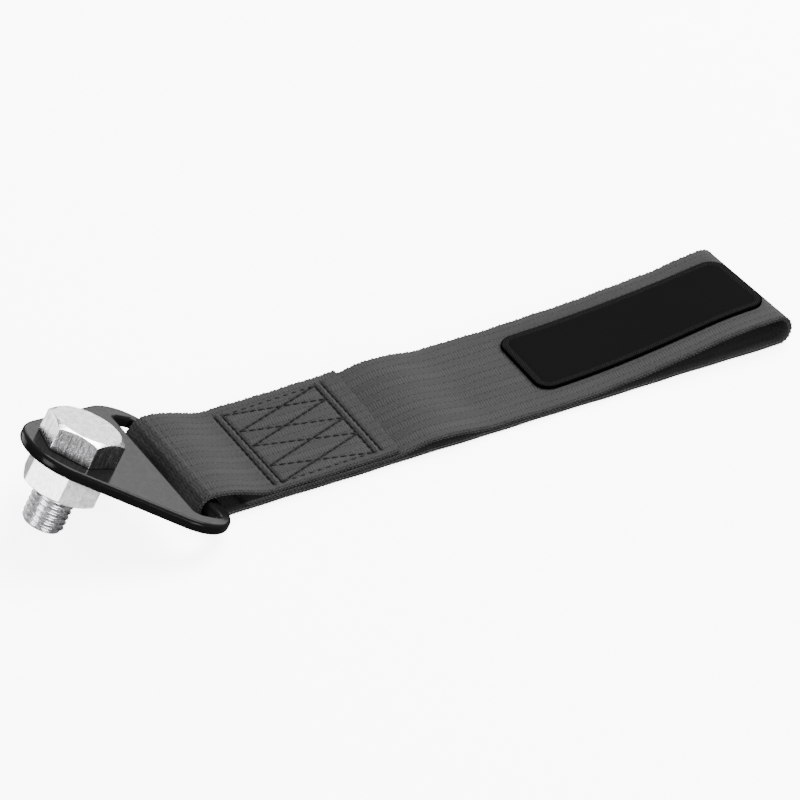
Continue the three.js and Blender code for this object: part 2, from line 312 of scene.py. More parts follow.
def mesh_object(name, points, faces):
    mesh = bpy.data.meshes.new(name)
    mesh.from_pydata((np.asarray(points) * MM).tolist(), [], faces)
    work = bmesh.new()
    work.from_mesh(mesh)
    bmesh.ops.recalc_face_normals(work, faces=work.faces)
    work.to_mesh(mesh)
    work.free()
    mesh.polygons.foreach_set("use_smooth", [True] * len(mesh.polygons))
    obj = bpy.data.objects.new(name, mesh)
    bpy.context.scene.collection.objects.link(obj)
    return obj


def add_uv(obj, name, coordinates):
    layer = obj.data.uv_layers.new(name=name)
    corners = np.empty(len(obj.data.loops), dtype=np.int32)
    obj.data.loops.foreach_get("vertex_index", corners)
    layer.data.foreach_set("uv", np.asarray(coordinates, dtype=np.float32)[corners].ravel())


def add_vector(obj, name, values):
    layer = obj.data.attributes.new(name, "FLOAT_VECTOR", "POINT")
    layer.data.foreach_set("vector", np.asarray(values, dtype=np.float32).ravel())


def ring_faces(rings, sides, caps=True):
    faces = []
    for i in range(rings - 1):
        for j in range(sides):
            k = (j + 1) % sides
            faces.append((i * sides + j, i * sides + k, (i + 1) * sides + k, (i + 1) * sides + j))
    if caps:
        faces.append(tuple(range(sides)))
        faces.append(tuple(range((rings - 1) * sides, rings * sides)))
    return faces


def sheet_faces(rows, columns, base, turned):
    """Faces of a grid of points that starts at a base index."""
    faces = []
    for i in range(rows - 1):
        for j in range(columns - 1):
            a = base + i * columns + j
            quad = (a, a + 1, a + columns + 1, a + columns)
            faces.append(quad[::-1] if turned else quad)
    return faces


def smoothstep(x, low, high):
    t = np.clip((np.asarray(x, dtype=float) - low) / (high - low), 0.0, 1.0)
    return t * t * (3 - 2 * t)


def bell(x, middle, spread):
    return np.exp(-((x - middle) / spread) ** 2)


# The webbing's route

def bezier(p0, p1, p2, p3, count=ROUTE_STEPS):
    t = np.linspace(0, 1, count)[:, None]
    p0, p1, p2, p3 = (np.array(p, dtype=float) for p in (p0, p1, p2, p3))
    return (1 - t) ** 3 * p0 + 3 * (1 - t) ** 2 * t * p1 + 3 * (1 - t) * t ** 2 * p2 + t ** 3 * p3


def line(p0, p1, count=ROUTE_STEPS):
    t = np.linspace(0, 1, count)[:, None]
    return (1 - t) * np.array(p0, dtype=float) + t * np.array(p1, dtype=float)


def arc(centre, radius, start, end, count=ROUTE_STEPS):
    angle = np.linspace(start, end, count)
    return np.stack([centre[0] + radius * np.cos(angle), centre[1] + radius * np.sin(angle)], -1)


def lengths(points):
    return np.concatenate([[0.0], np.cumsum(np.hypot(*np.diff(points, axis=0).T))])


def route_points():
    """The webbing's middle line in X and Z, and how far along it the far bend ends."""
    crest = (BLOCK_END + HUMP_SIDE, MIDDLE_Z + HUMP_HEIGHT)
    flat_x = crest[0] + HUMP_SIDE
    ease = HUMP_SIDE * HUMP_EASE
    foot = (BLOCK_END, MIDDLE_Z)
    rise = bezier(foot, (BLOCK_END + ease, MIDDLE_Z), (crest[0] - ease, crest[1]), crest, 2 * ROUTE_STEPS)
    run = lengths(rise)
    along = np.gradient(rise, axis=0)
    along /= np.hypot(*along.T)[:, None]
    over = rise + np.stack([-along[:, 1], along[:, 0]], -1) * LAYER_RISE
    flap = over[run <= FLAP_LENGTH][::-1]
    span = BAR_X - BLOCK_END
    loop_top = BOTTOM_Z + 2 * LOOP_RADIUS
    taper_x = LOOP_X - LOOP_TAPER
    before = [
        flap,
        line((BLOCK_END, TOP_Z), (-BLOCK_END, TOP_Z)),
        bezier(
            (-BLOCK_END, TOP_Z),
            (-BLOCK_END - span * EYE_FOOT_EASE, TOP_Z),
            (-BAR_X + span * EYE_TOP_EASE, AXIS_Z + EYE_RADIUS),
            (-BAR_X, AXIS_Z + EYE_RADIUS),
        ),
        arc((-BAR_X, AXIS_Z), EYE_RADIUS, math.pi / 2, math.pi * 1.5),
        line((-BAR_X, BOTTOM_Z), (LOOP_X, BOTTOM_Z), 3 * ROUTE_STEPS),
        arc((LOOP_X, BOTTOM_Z + LOOP_RADIUS), LOOP_RADIUS, -math.pi / 2, math.pi / 2),
    ]
    after = [
        bezier(
            (LOOP_X, loop_top),
            (LOOP_X - LOOP_TAPER * TAPER_TOP_EASE, loop_top),
            (taper_x + LOOP_TAPER * TAPER_FOOT_EASE, MIDDLE_Z),
            (taper_x, MIDDLE_Z),
            2 * ROUTE_STEPS,
        ),
        line((taper_x, MIDDLE_Z), (flat_x, MIDDLE_Z)),
        bezier((flat_x, MIDDLE_Z), (flat_x - ease, MIDDLE_Z), (crest[0] + ease, crest[1]), crest),
        rise[::-1],
        line((BLOCK_END, MIDDLE_Z), (-BLOCK_END - TAIL_LENGTH, MIDDLE_Z)),
    ]
    first = np.concatenate(before)
    whole = np.concatenate([first] + after)
    keep = np.concatenate([[True], np.hypot(*np.diff(whole, axis=0).T) > SAME_POINT])
    return whole[keep], lengths(first)[-1]


ROUTE, LOOP_TOP_AT = route_points()
ROUTE_AT = lengths(ROUTE)
ROUTE_LENGTH = ROUTE_AT[-1]


def twisted(s, y):
    """Points of the middle surface, at lengths s along the route and distances y across it."""
    x = np.interp(s, ROUTE_AT, ROUTE[:, 0])
    z = np.interp(s, ROUTE_AT, ROUTE[:, 1])
    share = smoothstep(x, LOOP_X - LOOP_TAPER, LOOP_X - LOOP_TAPER + TWIST_RISE) * y / WEB_HALF
    settled = smoothstep(x, LOOP_X - TWIST_SETTLE, LOOP_X)
    twist = TAPER_TWIST + (BEND_TWIST - TAPER_TWIST) * settled
    return x - LOOP_SKEW * share, z - twist * share * np.maximum(0.0, z - BOTTOM_Z)


def fold_bulge(s, y):
    """The fold round the bar hangs a little fuller towards its far edge."""
    fullness = BULGE_NEAR + BULGE_FAR * smoothstep(y, 0.0, BULGE_WIDTH)
    return fullness * bell(s, FOLD_AT + BULGE_AT, BULGE_SPREAD)


def edge_wander(s, y):
    """The webbing's edges aren't quite straight."""
    far, near = (
        sum(size * np.sin(s / length + start) for size, length, start in waves)
        for waves in (FAR_WAVES, NEAR_WAVES)
    )
    return np.where(y > 0, far, near) * (np.abs(y) / WEB_HALF) ** 3


def surface(s, y, lift, wander=True):
    """Points lifted off the middle surface along its outer normal. All three are arrays of one shape."""
    lift = lift + fold_bulge(s, y)
    x0, z0 = twisted(s - PROBE, y)
    x1, z1 = twisted(s + PROBE, y)
    x, z = twisted(s, y)
    size = np.hypot(x1 - x0, z1 - z0)
    along_x, along_z = (x1 - x0) / size, (z1 - z0) / size
    across = y + edge_wander(s, y) if wander else y
    return np.stack([x + along_z * lift, across, z - along_x * lift], -1)


def flap_skew(s, share):
    """How far the flap's end leans along the strap, at a share of the half width."""
    return smoothstep(s, FLAP_SKEW_LENGTH, 0.0) * FLAP_SKEW * share


# Stitch lines and the dents that they draw into the top layer

def stitch_lines():
    """(start, end, share of the pitch that is thread, share of the full dent) of each sewn line."""
    lines = [(*row, *DOUBLE_ROW) for row in (LEFT_OUTER, LEFT_INNER, RIGHT_INNER, RIGHT_OUTER)]
    gaps = len(LEFT_CORNERS) - 1
    lines += [(LEFT_CORNERS[i + 1], RIGHT_CORNERS[i], *ZIG) for i in range(gaps)]
    lines += [(LEFT_CORNERS[i], RIGHT_CORNERS[i + 1], *ZAG) for i in range(gaps)]
    lines += [(LEFT_CORNERS[i], RIGHT_CORNERS[i], *CROSS_ROW) for i in (0, gaps)]
    return lines


def distance_to(x, y, start, end):
    """Distance from points to a line piece, and how far along it they are."""
    dx, dy = end[0] - start[0], end[1] - start[1]
    size = math.hypot(dx, dy)
    t = np.clip(((x - start[0]) * dx + (y - start[1]) * dy) / size ** 2, 0, 1)
    return np.hypot(x - start[0] - t * dx, y - start[1] - t * dy), t * size


def dents(x, y):
    """How far the top layer is drawn down by its stitches, and puffed up between the double rows."""
    depth = np.zeros(np.broadcast(x, y).shape)
    for start, end, _, share in stitch_lines():
        near, run = distance_to(x, y, start, end)
        pull = 1 - DENT_WAVE + DENT_WAVE * np.cos(run / STITCH_PITCH * 2 * math.pi)
        depth = np.maximum(depth, DENT_DEPTH * share * pull * bell(near, 0.0, DENT_SPREAD))
    puff = np.zeros_like(depth)
    for pair in ((LEFT_OUTER, LEFT_INNER), (RIGHT_INNER, RIGHT_OUTER)):
        start, end = (tuple((a + b) / 2 for a, b in zip(pair[0][i], pair[1][i])) for i in (0, 1))
        near, run = distance_to(x, y, start, end)
        rounds = 0.5 - 0.5 * np.cos(run / STITCH_PITCH * 2 * math.pi)
        puff = np.maximum(puff, (PUFF_LOW + PUFF_HIGH * rounds) * bell(near, 0.0, PUFF_SPREAD))
    return puff - depth


def relief(s, y):
    """Rise of the outer face over its plain lift: dents in the block and creases at the fold."""
    x = np.interp(s, ROUTE_AT, ROUTE[:, 0]) * np.ones_like(y)
    rise = np.where(s < SEWN_END, dents(x, y), 0.0)
    near_fold = bell(s, FOLD_AT + CREASE_AT, CREASE_SPREAD)
    fade = 1 - CREASE_FADE + CREASE_FADE * np.sin(y / CREASE_FADE_LENGTH)
    return rise + CREASE_HEIGHT * near_fold * np.sin(s * 2 * math.pi / CREASE_PITCH) * fade


# Pieces of the strap

def webbing_stations():
    """Lengths along the route at which the webbing has a ring of points, close where it has relief."""
    return np.concatenate([
        np.linspace(0, SEWN_END, SEWN_STATIONS, endpoint=False),
        np.linspace(SEWN_END, SEWN_END + EYE_RUN, EYE_STATIONS, endpoint=False),
        np.linspace(SEWN_END + EYE_RUN, ROUTE_LENGTH, OTHER_STATIONS),
    ])


def make_webbing():
    """One closed strip. Each row round it has a place across, a lift, and a share of the relief."""
    edge = WEB_HALF - EDGE_INSET
    rows = [(y, THICK_HALF, 1.0) for y in np.linspace(-edge, edge, OUTER_ROWS)]
    rows += [(edge + reach, lift, 0.0) for reach, lift in EDGE_ROWS]
    rows += [(y, -INNER_HALF, 0.0) for y in np.linspace(edge, -edge, INNER_ROWS)]
    rows += [(-edge - reach, lift, 0.0) for reach, lift in EDGE_ROWS[::-1]]
    places, lifts, shares = np.array(rows).T
    s, y = np.meshgrid(webbing_stations(), places, indexing="ij")
    rise = relief(s, y)
    ends = bell(s, 0.0, END_SPREAD) + bell(s, ROUTE_LENGTH, END_SPREAD)
    points = surface(s, y, (lifts + shares * rise) * (1 - END_THINNING * ends))
    points[..., 0] += flap_skew(s, y / WEB_HALF)
    points[..., 2] = np.maximum(points[..., 2], 0.0)
    obj = mesh_object("webbing", points.reshape(-1, 3), ring_faces(*s.shape))
    add_uv(obj, "weave", np.stack([s / UNIT, y / UNIT], -1).reshape(-1, 2))
    # Painted shade: the colour is darker in the stitch dents, in the crease valleys at the fold and at
    # the flap's free end.
    sunk = np.maximum(-rise, END_SHADE * bell(s, 0.0, END_SHADE_SPREAD))
    add_vector(obj, "sunk", np.stack([sunk, sunk, sunk], -1).reshape(-1, 3))
    return obj


def ball(across, around):
    """A unit ball's points and faces, its poles along the first axis."""
    points = [(1.0, 0.0, 0.0)]
    for i in range(1, across):
        a = math.pi * i / across
        for j in range(around):
            b = 2 * math.pi * j / around
            points.append((math.cos(a), math.sin(a) * math.cos(b), math.sin(a) * math.sin(b)))
    points.append((-1.0, 0.0, 0.0))
    faces = [(0, 1 + (j + 1) % around, 1 + j) for j in range(around)]
    for i in range(across - 2):
        for j in range(around):
            a = 1 + i * around + j
            b = 1 + i * around + (j + 1) % around
            faces.append((a, b, b + around, a + around))
    last = len(points) - 1
    base = last - around
    faces += [(last, base + j, base + (j + 1) % around) for j in range(around)]
    return np.array(points), faces


def beads(name, centres, frames, sizes):
    """Many small balls in one mesh. Each has a centre, three axes and three half sizes."""
    unit, faces = ball(BALL_ACROSS, BALL_AROUND)
    points = np.einsum("pk,nk,nkc->npc", unit, sizes, frames) + centres[:, None, :]
    every = []
    for n in range(len(centres)):
        shift = n * len(unit)
        every += [tuple(i + shift for i in face) for face in faces]
    obj = mesh_object(name, points.reshape(-1, 3), every)
    add_vector(obj, "turn", np.tile(unit, (len(centres), 1)))
    return obj


def make_selvedge(name, side):
    """The bound edge of the webbing: two rows of slanted yarn turns."""
    count = int(ROUTE_LENGTH / YARN_PITCH)
    centres, frames, places = [], [], []
    for row in (-1, 1):
        s = (np.arange(count) + 0.5 + YARN_STAGGER * row) * YARN_PITCH
        y = np.full(count, side * (WEB_HALF - YARN_INSET))
        lift = np.full(count, YARN_LIFT * row)
        middle = surface(s, y, lift)
        ahead = surface(s + YARN_AHEAD, y, lift) - middle
        along = ahead / np.linalg.norm(ahead, axis=1)[:, None]
        across = np.tile([0.0, 1.0, 0.0], (count, 1))
        up = np.cross(along, across)
        slant = YARN_SLANT * row
        first = along * math.cos(slant) + up * math.sin(slant)
        centres.append(middle)
        frames.append(np.stack([first, across, np.cross(first, across)], 1))
        places.append(s)
    centres = np.concatenate(centres)
    centres[:, 0] += flap_skew(np.concatenate(places), side)
    centres[:, 2] = np.maximum(centres[:, 2], YARN_LOWEST)
    half_width = YARN_HALF_WIDTH_NEAR if side < 0 else YARN_HALF_WIDTH_FAR
    sizes = np.tile([YARN_HALF_LENGTH, half_width, YARN_HALF_HEIGHT], (len(centres), 1))
    return beads(name, centres, np.concatenate(frames), sizes)


def make_stitching():
    """Thread on top of the sewn block, each stitch a slim ball that is half sunk into the webbing."""
    centres, frames, sizes = [], [], []
    for start, end, share, depth in stitch_lines():
        start, end = np.array(start), np.array(end)
        size = np.hypot(*(end - start))
        count = max(1, round(size / STITCH_PITCH))
        step = (end - start) / count
        run = np.hypot(*step)
        along = np.array([*(step / run), 0.0])
        across = np.array([-along[1], along[0], 0.0])
        for i in range(count):
            x, y = start + step * (i + 0.5)
            centres.append((x, y, TOP_Z + THICK_HALF - STITCH_SINK + STITCH_EASE * depth))
            frames.append((along, across, (0.0, 0.0, 1.0)))
            sizes.append((run * share / 2, STITCH_HALF_WIDTH, STITCH_HALF_HEIGHT))
    return beads("stitching", np.array(centres), np.array(frames), np.array(sizes))


def make_label():
    """The patch: a flat bare middle inside a raised, bound border."""
    half = LABEL_WIDTH / 2
    edge = np.array(LABEL_EDGE_STEPS)
    rows = np.linspace(edge[-1], LABEL_LENGTH - edge[-1], LABEL_ROWS)[1:-1]
    rows = np.concatenate([edge, rows, LABEL_LENGTH - edge[::-1]])
    columns = np.linspace(-half + edge[-1], half - edge[-1], LABEL_COLUMNS)[1:-1]
    columns = np.concatenate([-half + edge, columns, half - edge[::-1]])
    s, y = np.meshgrid(rows, columns, indexing="ij")
    end = np.minimum(s, LABEL_LENGTH - s)
    corner_s = np.clip(LABEL_CORNER - end, 0, LABEL_CORNER)
    pull = LABEL_CORNER - np.sqrt(np.maximum(0, LABEL_CORNER ** 2 - corner_s ** 2))
    y = y * (half - pull) / half
    corner_y = np.maximum(LABEL_CORNER - (half - np.abs(y)), 0)
    inside = np.where(
        (corner_s > 0) & (corner_y > 0),
        LABEL_CORNER - np.hypot(corner_s, corner_y),
        np.minimum(end, half - np.abs(y)),
    )
    inside = np.maximum(inside, 0)
    rim = RIM_HEIGHT * np.sqrt(np.clip(1 - (1 - np.clip(inside / RIM_WIDTH, 0, 1)) ** 2, 0, 1))
    over = np.clip((inside - BORDER_START) / BORDER_WIDTH, 0, 1)
    ridge = BORDER_HEIGHT * np.sin(over * math.pi) ** BORDER_FULLNESS
    gutter = -GUTTER_DEPTH * bell(inside, GUTTER_AT, GUTTER_SPREAD)
    top = SEAT_GAP + THICK_HALF + LABEL_THICK - LABEL_SINK + rim + ridge + gutter
    low = np.full_like(top, THICK_HALF + LABEL_UNDER)
    at = LOOP_TOP_AT - LABEL_WRAP + s
    upper = surface(at, y + LABEL_SHIFT, top, wander=False)
    lower = surface(at, y + LABEL_SHIFT, low, wander=False)
    n, m = s.shape
    faces = sheet_faces(n, m, 0, False) + sheet_faces(n, m, n * m, True)
    around = [(0, j) for j in range(m)] + [(i, m - 1) for i in range(1, n)]
    around += [(n - 1, j) for j in range(m - 2, -1, -1)] + [(i, 0) for i in range(n - 2, 0, -1)]
    for a, b in zip(around, around[1:] + around[:1]):
        i, j = a[0] * m + a[1], b[0] * m + b[1]
        faces.append((i, j, n * m + j, n * m + i))
    points = np.concatenate([upper.reshape(-1, 3), lower.reshape(-1, 3)])
    obj = mesh_object("label", points, faces)
    facts = np.stack([s / UNIT, y / UNIT, inside / INSIDE_UNIT], -1).reshape(-1, 3)
    add_vector(obj, "patch", np.concatenate([facts, facts]))
    return obj


# The plate, the bolt and the nut are made upright about their own axes and then put in place

def placed(points, on_bolt):
    """From the plate's own frame, its bar's middle at the origin, to the floor's frame.

    Points about the bolt's axis come into the plate's frame first.
    """
    p = np.asarray(points, dtype=float).copy()
    if on_bolt:
        p += (-BOLT_TO_BAR, BOLT_SLACK, PLATE_THICK / 2)
    x = p[:, 0] * math.cos(LEAN) + p[:, 2] * math.sin(LEAN)
    z = -p[:, 0] * math.sin(LEAN) + p[:, 2] * math.cos(LEAN)
    return np.stack([x - BAR_X, p[:, 1] + PLATE_SHIFT, z + AXIS_Z], -1)


def own_object(name, points, faces, on_bolt):
    """An object put in place, which remembers where its points were in its own frame."""
    obj = mesh_object(name, placed(points, on_bolt), faces)
    add_vector(obj, "own", np.array(points) / UNIT)
    return obj


def plate_outline(inset):
    """The plate's outline, drawn in by an inset, about the bolt's axis."""
    corner_x = PLATE_BACK - CORNER_RADIUS
    corner_y = PLATE_HALF - CORNER_RADIUS
    spread = math.atan2(corner_y, corner_x)
    closing = math.asin((NOSE_RADIUS - CORNER_RADIUS) / math.hypot(corner_x, corner_y))
    flank = math.pi / 2 + spread - closing
    return np.concatenate([
        arc((0, 0), NOSE_RADIUS - inset, flank, 2 * math.pi - flank, NOSE_STEPS),
        arc((corner_x, -corner_y), CORNER_RADIUS - inset, -flank, 0, CORNER_STEPS),
        arc((corner_x, corner_y), CORNER_RADIUS - inset, 0, flank, CORNER_STEPS),
    ])


def hole_outline(inset):
    return arc((0, 0), HOLE_RADIUS + inset, 0, 2 * math.pi, HOLE_STEPS + 1)[:-1]


def slot_outline(inset):
    left = HOLE_TO_SLOT + SLOT_CORNER
    right = HOLE_TO_SLOT + SLOT_WIDTH - SLOT_CORNER
    side = SLOT_LENGTH / 2 - SLOT_CORNER
    corners = ((right, side), (left, side), (left, -side), (right, -side))
    quarter = math.pi / 2
    return np.concatenate([
        arc(corner, SLOT_CORNER + inset, i * quarter, (i + 1) * quarter, SLOT_STEPS)
        for i, corner in enumerate(corners)
    ])


def make_plate():
    """Sheet steel with rounded edges: a ring of wall round each outline, and two flat faces."""
    profile = [(PLATE_EDGE + PLATE_MARGIN, PLATE_THICK / 2)]
    for i in range(PLATE_EDGE_STEPS + 1):
        angle = math.pi / 2 * i / PLATE_EDGE_STEPS
        drop = PLATE_EDGE * (1 - math.cos(angle))
        profile.append((PLATE_EDGE * (1 - math.sin(angle)), PLATE_THICK / 2 - drop))
    profile += [(inset, -z) for inset, z in profile[::-1]]
    points, faces = [], []
    tops, bottoms = [], []
    for loop in (plate_outline, hole_outline, slot_outline):
        base = len(points)
        for inset, z in profile:
            points += [(x - BOLT_TO_BAR, y, z) for x, y in loop(inset)]
        count = (len(points) - base) // len(profile)
        walls = ring_faces(len(profile), count, caps=False)
        faces += [tuple(i + base for i in face) for face in walls]
        tops.append(list(range(base, base + count)))
        bottoms.append(list(range(len(points) - count, len(points))))
    for loops in (tops, bottoms):
        flat = [i for loop in loops for i in loop]
        shape = [[Vector((points[i][0], points[i][1], 0.0)) for i in loop] for loop in loops]
        faces += [tuple(flat[i] for i in face) for face in tessellate_polygon(shape)]
    return own_object("plate", points, faces, False)


def hexagon(angle, turn):
    """Distance from the axis to a hexagon with rounded corners, at angles from the first corner."""
    flat = ACROSS_FLATS / 2
    half = math.pi / HEX_SIDES
    local = np.abs((angle - turn + half) % (2 * half) - half)
    centre = (flat - HEX_ROUNDING) / math.cos(half)
    limit = math.atan2(HEX_ROUNDING * math.sin(half), centre + HEX_ROUNDING * math.cos(half))
    beside = np.maximum(HEX_ROUNDING ** 2 - (centre * np.sin(local)) ** 2, 0)
    return np.where(local < limit, centre * np.cos(local) + np.sqrt(beside), flat / np.cos(half - local))


def hex_angles(turn):
    """Angles round a hexagon, close together at its corners."""
    side = 360 / HEX_SIDES
    near = np.array(HEX_STEPS)
    one = np.concatenate([near, side - near[:0:-1]])
    return np.concatenate([one + side * k for k in range(HEX_SIDES)]) * DEG + turn


def rounded_profile(corners):
    """A line through corners, each turned by a short arc."""
    out = [corners[0]]
    for before, corner, after in zip(corners, corners[1:], corners[2:]):
        before, corner, after = np.array(before), np.array(corner), np.array(after)
        back = (before - corner) / np.linalg.norm(before - corner) * PROFILE_ROUNDING
        ahead = (after - corner) / np.linalg.norm(after - corner) * PROFILE_ROUNDING
        out += [tuple(corner + back * t) for t in PROFILE_STEPS]
        out.append(tuple(corner + (back + ahead) * PROFILE_SAG))
        out += [tuple(corner + ahead * t) for t in PROFILE_STEPS[::-1]]
    out.append(corners[-1])
    return out


def hex_body(low, high, turn, both_ends, bore=None):
    """A hexagonal head or nut whose corners are turned down at 30 degrees."""
    face = ACROSS_FLATS / 2 * FACE_SHARE
    angles = hex_angles(turn)
    inner = CAP_RADIUS if bore is None else bore
    columns = []
    for radius in hexagon(angles, turn):
        drop = max(LEAST_DROP, (radius - face) * math.tan(CORNER_ANGLE))
        foot = [(face, low), (radius, low + drop)] if both_ends else [(radius, low)]
        top = [(radius, high - drop), (face, high), (inner, high)]
        columns.append(rounded_profile([(inner, low)] + foot + top))
    profile = np.array(columns)
    if bore is not None:
        profile[:, 0] = (bore + BORE_MOUTH, low)
        profile[:, -1] = (bore + BORE_MOUTH, high)
        wall = np.array([(bore, high - BORE_MOUTH), (bore, low + BORE_MOUTH)])
        profile = np.concatenate([profile, np.tile(wall, (len(profile), 1, 1))], 1)
    count, rings = profile.shape[:2]
    points = []
    for k in range(rings):
        for angle, (radius, z) in zip(angles, profile[:, k]):
            points.append((radius * math.cos(angle), radius * math.sin(angle), z))
    faces = ring_faces(rings, count, caps=bore is None)
    if bore is not None:
        last = (rings - 1) * count
        for j in range(count):
            k = (j + 1) % count
            faces.append((last + j, last + k, k, j))
    return points, faces


def thread_body():
    """The shank: one helical thread, left-handed as it stands, from the head to a turned-down tip."""
    rings = int((SHANK_LENGTH + SHANK_IN_HEAD) / THREAD_PITCH * THREAD_RINGS)
    height = np.linspace(SHANK_IN_HEAD, -SHANK_LENGTH, rings)
    around = np.arange(THREAD_SIDES) / THREAD_SIDES * 2 * math.pi
    z, angle = np.meshgrid(height, around, indexing="ij")
    phase = (z / THREAD_PITCH + angle / (2 * math.pi)) % 1.0
    cut = np.clip((np.abs(phase - 0.5) * 2 - THREAD_CREST) / THREAD_FLANK, 0, 1)
    tip = SHANK_RADIUS - TIP_CHAMFER + (z + SHANK_LENGTH) * TIP_SLOPE
    radius = np.minimum(SHANK_RADIUS - THREAD_DEPTH * cut, tip)
    points = np.stack([radius * np.cos(angle), radius * np.sin(angle), z], -1)
    return points.reshape(-1, 3).tolist(), ring_faces(rings, THREAD_SIDES)


def make_bolt():
    points, faces = hex_body(SEAT_LIFT, SEAT_GAP + HEAD_HEIGHT, HEAD_TURN * DEG, False)
    thread, thread_faces = thread_body()
    faces += [tuple(i + len(points) for i in face) for face in thread_faces]
    return own_object("bolt", points + thread, faces, True)


def make_nut():
    top = -PLATE_THICK - SEAT_LIFT
    bottom = -PLATE_THICK - SEAT_GAP - NUT_HEIGHT
    points, faces = hex_body(bottom, top, NUT_TURN * DEG, True, SHANK_RADIUS + BORE_CLEARANCE)
    return own_object("nut", points, faces, True)


# Materials

class Nodes:
    """A short way to write a node tree."""

    def __init__(self, name):
        self.material = bpy.data.materials.new(name)
        self.material.use_nodes = True
        self.tree = self.material.node_tree
        self.shader = self.tree.nodes["Principled BSDF"]

    def node(self, kind, inputs=None, **settings):
        made = self.tree.nodes.new("ShaderNode" + kind)
        for key, value in settings.items():
            setattr(made, key, value)
        for key, value in (inputs or {}).items():
            self.put(made.inputs[key], value)
        return made

    def put(self, socket, value):
        if isinstance(value, bpy.types.NodeSocket):
            self.tree.links.new(value, socket)
        else:
            socket.default_value = value

    def math(self, operation, a, b=0.0, c=0.0, clamp=False):
        return self.node("Math", {0: a, 1: b, 2: c}, operation=operation, use_clamp=clamp).outputs[0]

    def times(self, a, b):
        return self.math("MULTIPLY", a, b)

    def total(self, *parts):
        """The sum of values, each times its own weight."""
        (value, weight), *others = parts
        made = self.times(value, weight)
        for value, weight in others:
            made = self.math("ADD", made, self.times(value, weight))
        return made

    def wave(self, value, pitch):
        """A sine along a value, one turn in each pitch, from 0 to 1."""
        turn = self.math("SINE", self.times(self.math("DIVIDE", value, pitch), 2 * math.pi))
        return self.math("MULTIPLY_ADD", turn, 0.5, 0.5)

    def mix(self, factor, a, b):
        made = self.node("Mix", data_type="RGBA")
        self.put(made.inputs[0], factor)
        self.put(made.inputs[6], a)
        self.put(made.inputs[7], b)
        return made.outputs[2]

    def scale_range(self, value, low, high, to_low=0.0, to_high=1.0):
        limits = {"From Min": low, "From Max": high, "To Min": to_low, "To Max": to_high}
        return self.node("MapRange", {"Value": value, **limits}).outputs["Result"]

    def noise(self, vector, scale, detail, roughness):
        inputs = {"Vector": vector, "Scale": scale, "Detail": detail, "Roughness": roughness}
        return self.node("TexNoise", inputs).outputs["Fac"]

    def bump(self, height, distance, strength):
        inputs = {"Height": height, "Distance": distance, "Strength": strength}
        return self.node("Bump", inputs).outputs["Normal"]

    def attribute(self, name, output="Vector"):
        return self.node("Attribute", attribute_name=name, attribute_type="GEOMETRY").outputs[output]

    def split(self, vector):
        return self.node("SeparateXYZ", {0: vector}).outputs

    def vector(self, x, y, z=0.0):
        return self.node("CombineXYZ", {0: x, 1: y, 2: z}).outputs[0]

    def finish(self, **values):
        for key, value in values.items():
            self.put(self.shader.inputs[key.replace("_", " ")], value)
        return self.material


def greys(levels):
    """The colours of grey levels."""
    return [(level, level, level * BLUE_TINT, 1.0) for level in levels]


def weave_material():
    """Herringbone twill in lengthwise bands, from the webbing's own length and width, with painted shade
    in the rib valleys.
    """
    n = Nodes("webbing_weave")
    place = n.split(n.node("UVMap", uv_map="weave").outputs[0])
    along, across = n.times(place[0], UNIT), n.times(place[1], UNIT)

    def patchy(along_share, across_share, detail, roughness):
        stretched = n.vector(n.times(along, along_share), n.times(across, across_share))
        return n.noise(stretched, 1.0, detail, roughness)

    folded = n.math("PINGPONG", across, HERRINGBONE_WIDTH)
    jitter = patchy(0.7, 0.9, 2.0, 0.6)
    drift = patchy(0.035, 0.22, 4.0, 0.6)
    fibre = patchy(1.5, 1.1, 4.0, 0.75)
    rib = n.wave(n.total((along, 1.0), (folded, RIB_SLANT), (jitter, RIB_JITTER)), RIB_PITCH)
    warp = n.wave(across, WARP_PITCH)
    band = n.wave(across, BAND_PITCH)
    from_middle = n.math("ABSOLUTE", n.math("SUBTRACT", folded, HERRINGBONE_WIDTH / 2))
    gap = n.math("GREATER_THAN", from_middle, GAP_FROM_MIDDLE)
    dots = n.times(gap, n.wave(along, DOT_PITCH))
    ribbing = n.scale_range(band, 0.2, 0.8, 0.6, 1.0)
    twill = n.math("MULTIPLY_ADD", n.math("SUBTRACT", rib, 0.5), ribbing, 0.5)
    height = n.total((twill, TWILL_SHARE), (warp, WARP_SHARE), (fibre, FIBRE_SHARE), (dots, -DOT_SHARE))
    # The colour follows the weave's height: the yarn pattern, with painted shade in its rib valleys.
    shade = n.scale_range(height, 0.32, 0.96)
    shade = n.math("ADD", shade, n.scale_range(drift, 0.3, 0.7, -0.08, 0.08))
    shade = n.math("ADD", shade, n.scale_range(band, 0.0, 1.0, -0.02, 0.04), clamp=True)
    colour = n.mix(shade, *greys(WEAVE_GREYS))
    # Painted shade in the stitch dents, the fold's crease valleys and at the flap's end.
    sunk = n.scale_range(n.attribute("sunk", "Fac"), 0.06, 0.34, 0.0, 0.85)
    return n.finish(
        Base_Color=n.mix(sunk, colour, *greys([GROOVE_SHADE_GREY])),
        Roughness=n.scale_range(fibre, 0.3, 0.7, 0.72, 0.9),
        Normal=n.bump(height, distance=0.16 * MM, strength=0.6),
        Specular_IOR_Level=0.1,
        Sheen_Weight=0.02,
        Sheen_Roughness=0.5,
    )


